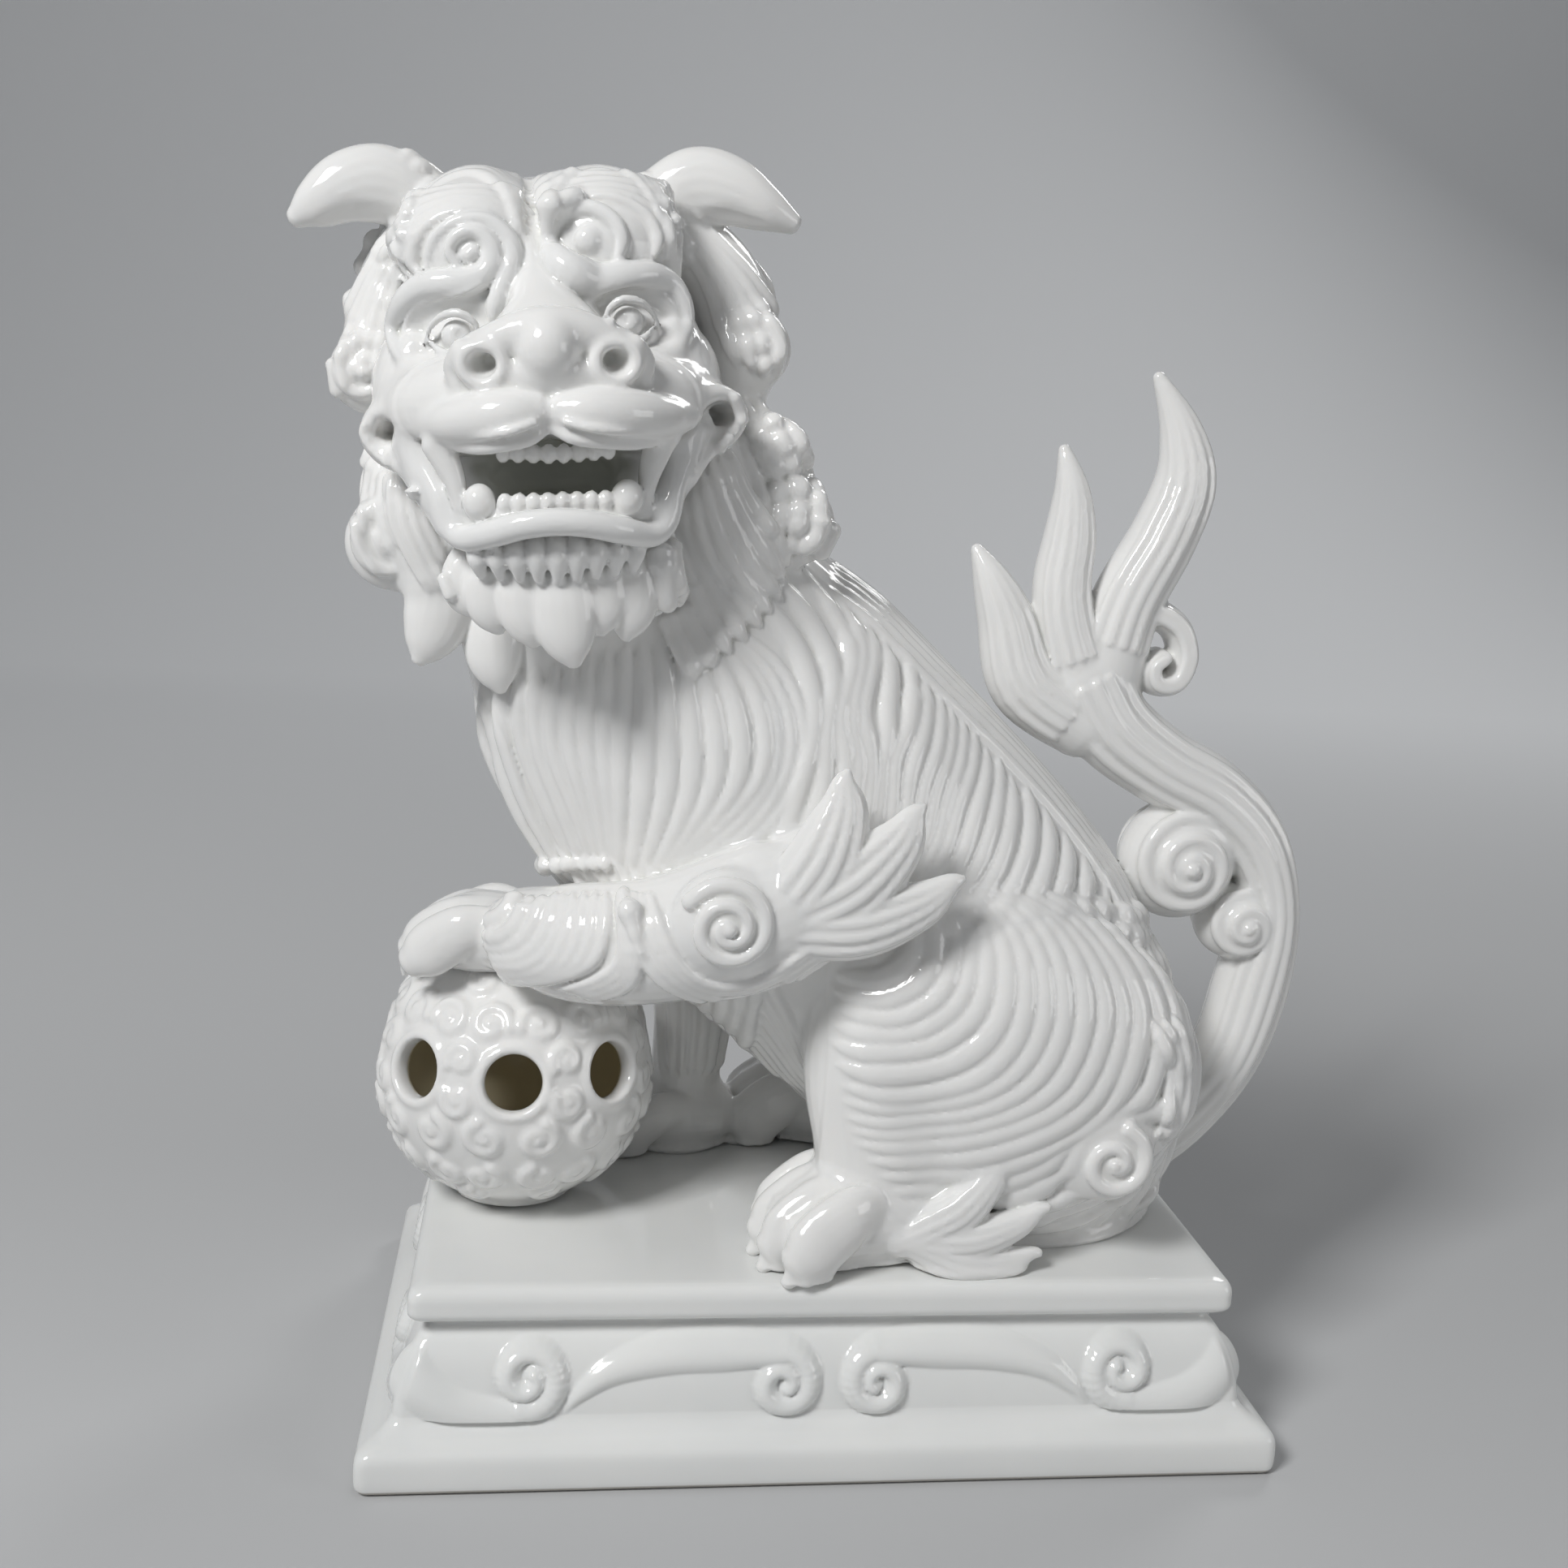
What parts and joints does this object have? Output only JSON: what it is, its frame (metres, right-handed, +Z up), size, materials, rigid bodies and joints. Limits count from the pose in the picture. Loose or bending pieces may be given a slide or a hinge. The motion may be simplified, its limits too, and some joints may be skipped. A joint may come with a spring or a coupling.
{
  "type": "foo dog statue",
  "caption": "Seated guardian lion statue in white glazed porcelain, one forepaw on a pierced ball, on a moulded oblong plinth.",
  "frame": {"origin": "centre of the plinth's foot, on the surface that it stands on", "axes": "+Z up; -X is the side of the chest and the ball; the face looks along -Y; +X is the side of the tail"},
  "size_m": [0.2031, 0.1053, 0.2372],
  "materials": {
    "glaze": "glossy"
  },
  "bodies": {
    "root": {"plinth": "glaze", "frieze_scrolls": "glaze", "ball": "glaze", "torso": "glaze", "left_hind_leg": "glaze", "right_hind_leg": "glaze", "left_hind_paw": "glaze", "right_hind_paw": "glaze", "left_hock_tuft": "glaze", "right_hock_tuft": "glaze", "left_foreleg": "glaze", "right_foreleg": "glaze", "left_elbow_tuft": "glaze", "right_elbow_tuft": "glaze", "head": "glaze", "brows": "glaze", "eyes": "glaze", "lower_jaw": "glaze", "teeth": "glaze", "left_ear": "glaze", "right_ear": "glaze", "beard": "glaze", "left_mane": "glaze", "right_mane": "glaze", "nape_mane": "glaze", "tail": "glaze", "tail_curls": "glaze"}
  },
  "joints": []
}
